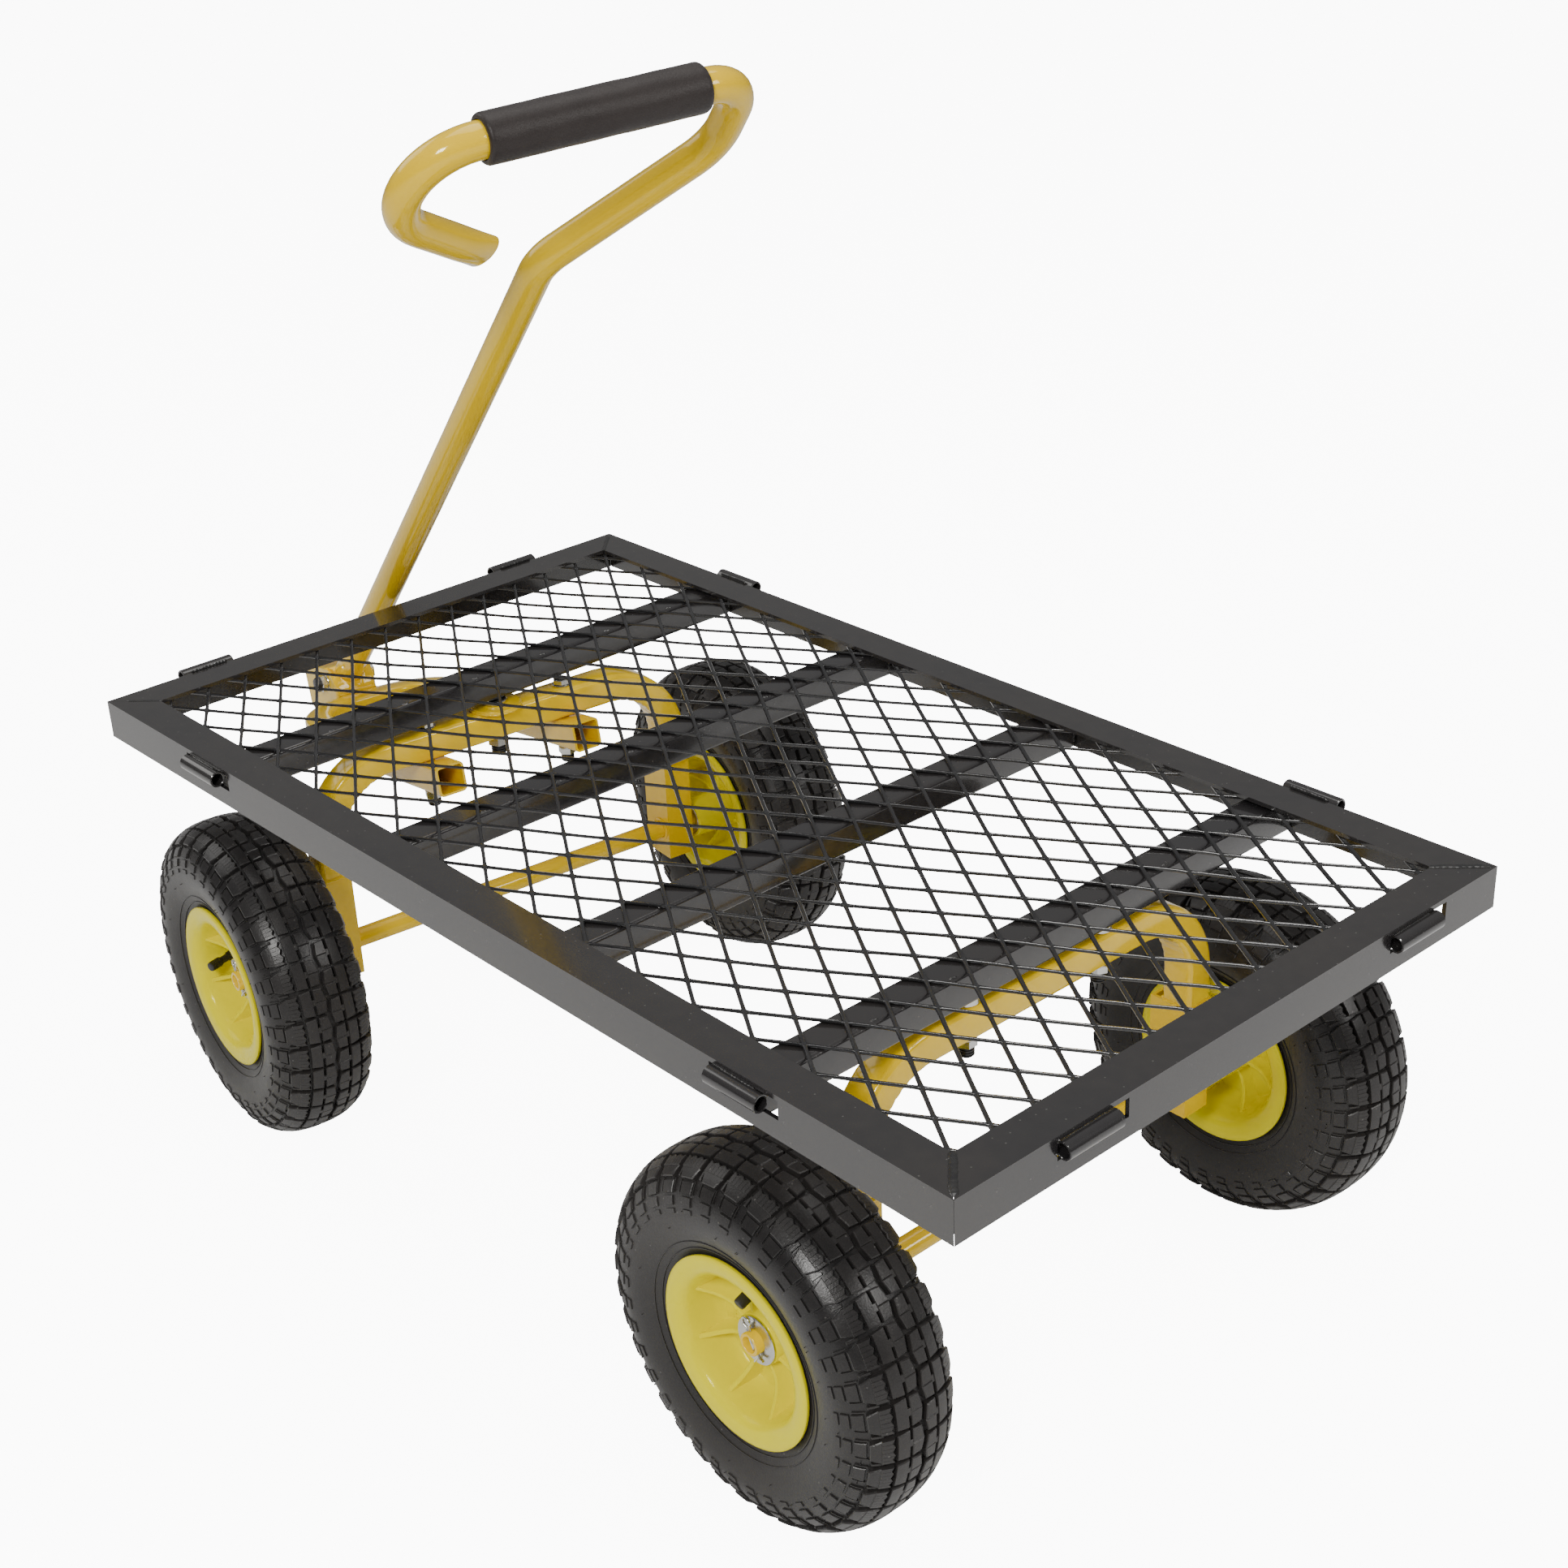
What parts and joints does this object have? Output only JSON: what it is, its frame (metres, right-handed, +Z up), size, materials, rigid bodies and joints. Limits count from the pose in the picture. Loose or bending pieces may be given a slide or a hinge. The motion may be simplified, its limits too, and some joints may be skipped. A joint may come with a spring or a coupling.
{
  "type": "garden cart",
  "caption": "Open flatbed garden cart: expanded-metal deck in an angle-iron frame, pneumatic wheels, steered front axle on a drop tongue, and a pull handle with a foam grip.",
  "frame": {"origin": "on the ground, below the middle of the bounding box", "axes": "+X forward towards the tongue, +Y to the cart's left, +Z up"},
  "size_m": [1.1144, 0.5636, 0.8243],
  "materials": {
    "black_powder_coat": "gloss black powder coat on the deck steel",
    "yellow_powder_coat": "gloss warm yellow powder coat on the running gear, tongue and handle",
    "yellow_plastic": "moulded bright yellow rim",
    "tyre_rubber": "matt black rubber",
    "grip_foam": "closed-cell charcoal foam",
    "zinc_steel": "bright zinc plate",
    "black_plastic": "satin black plastic or rubber"
  },
  "bodies": {
    "chassis": {"crossmember_1": "black_powder_coat", "crossmember_2": "black_powder_coat", "crossmember_3": "black_powder_coat", "crossmember_4": "black_powder_coat", "deck_mesh": "black_powder_coat", "kingpin": "zinc_steel", "panel_sleeve_front_1": "black_powder_coat", "panel_sleeve_front_2": "black_powder_coat", "panel_sleeve_left_1": "black_powder_coat", "panel_sleeve_left_2": "black_powder_coat", "panel_sleeve_rear_1": "black_powder_coat", "panel_sleeve_rear_2": "black_powder_coat", "panel_sleeve_right_1": "black_powder_coat", "panel_sleeve_right_2": "black_powder_coat", "rail_front": "black_powder_coat", "rail_left": "black_powder_coat", "rail_rear": "black_powder_coat", "rail_right": "black_powder_coat", "rear_arch": "yellow_powder_coat", "rear_axle": "yellow_powder_coat", "rear_axle_washer_left": "zinc_steel", "rear_axle_washer_right": "zinc_steel", "rear_bolt_left": "zinc_steel", "rear_bolt_right": "zinc_steel", "rear_bracket_left": "yellow_powder_coat", "rear_bracket_right": "yellow_powder_coat", "rear_split_pin_left": "zinc_steel", "rear_split_pin_right": "zinc_steel"},
    "wheel_rear_left": {"wheel_rear_left_tyre": "tyre_rubber", "wheel_rear_left_rim": "yellow_plastic", "wheel_rear_left_valve_stem": "black_plastic"},
    "wheel_rear_right": {"wheel_rear_right_tyre": "tyre_rubber", "wheel_rear_right_rim": "yellow_plastic", "wheel_rear_right_valve_stem": "black_plastic"},
    "wheel_front_left": {"wheel_front_left_tyre": "tyre_rubber", "wheel_front_left_rim": "yellow_plastic", "wheel_front_left_valve_stem": "black_plastic"},
    "wheel_front_right": {"wheel_front_right_tyre": "tyre_rubber", "wheel_front_right_rim": "yellow_plastic", "wheel_front_right_valve_stem": "black_plastic"},
    "handle": {"handle_tube": "yellow_powder_coat", "handle_grip": "grip_foam", "handle_spacer_left": "black_plastic", "handle_spacer_right": "black_plastic"},
    "front_axle_assembly": {"front_arch": "yellow_powder_coat", "pivot_plate": "yellow_powder_coat", "front_bracket_left": "yellow_powder_coat", "front_bracket_right": "yellow_powder_coat", "front_axle": "yellow_powder_coat", "tongue_tube": "yellow_powder_coat", "tongue_clevis": "yellow_powder_coat", "handle_pin": "zinc_steel", "tongue_bolt_left": "zinc_steel", "tongue_bolt_right": "zinc_steel", "front_axle_washer_left": "zinc_steel", "front_axle_washer_right": "zinc_steel", "front_split_pin_left": "zinc_steel", "front_split_pin_right": "zinc_steel"}
  },
  "joints": [
    {"name": "steer", "type": "hinge", "parent": "chassis", "child": "front_axle_assembly", "pos_m": [0.22003, 0, 0.25], "axis": [0, 0, 1], "range_deg": [-6.3, 18.6]},
    {"name": "handle_tilt", "type": "hinge", "parent": "front_axle_assembly", "child": "handle", "pos_m": [0.50842, -0.03107, 0.22404], "axis": [0.1071, 0.9942, 0], "range_deg": [0, 140]},
    {"name": "wheel_rear_left_spin", "type": "hinge", "parent": "chassis", "child": "wheel_rear_left", "pos_m": [-0.37077, 0.2305, 0.13], "axis": [0, 1, 0], "continuous": true},
    {"name": "wheel_rear_right_spin", "type": "hinge", "parent": "chassis", "child": "wheel_rear_right", "pos_m": [-0.37077, -0.2305, 0.13], "axis": [0, 1, 0], "continuous": true},
    {"name": "wheel_front_left_spin", "type": "hinge", "parent": "front_axle_assembly", "child": "wheel_front_left", "pos_m": [0.24473, 0.22917, 0.13], "axis": [0.1071, 0.9942, 0], "continuous": true},
    {"name": "wheel_front_right_spin", "type": "hinge", "parent": "front_axle_assembly", "child": "wheel_front_right", "pos_m": [0.19534, -0.22917, 0.13], "axis": [0.1071, 0.9942, 0], "continuous": true}
  ]
}
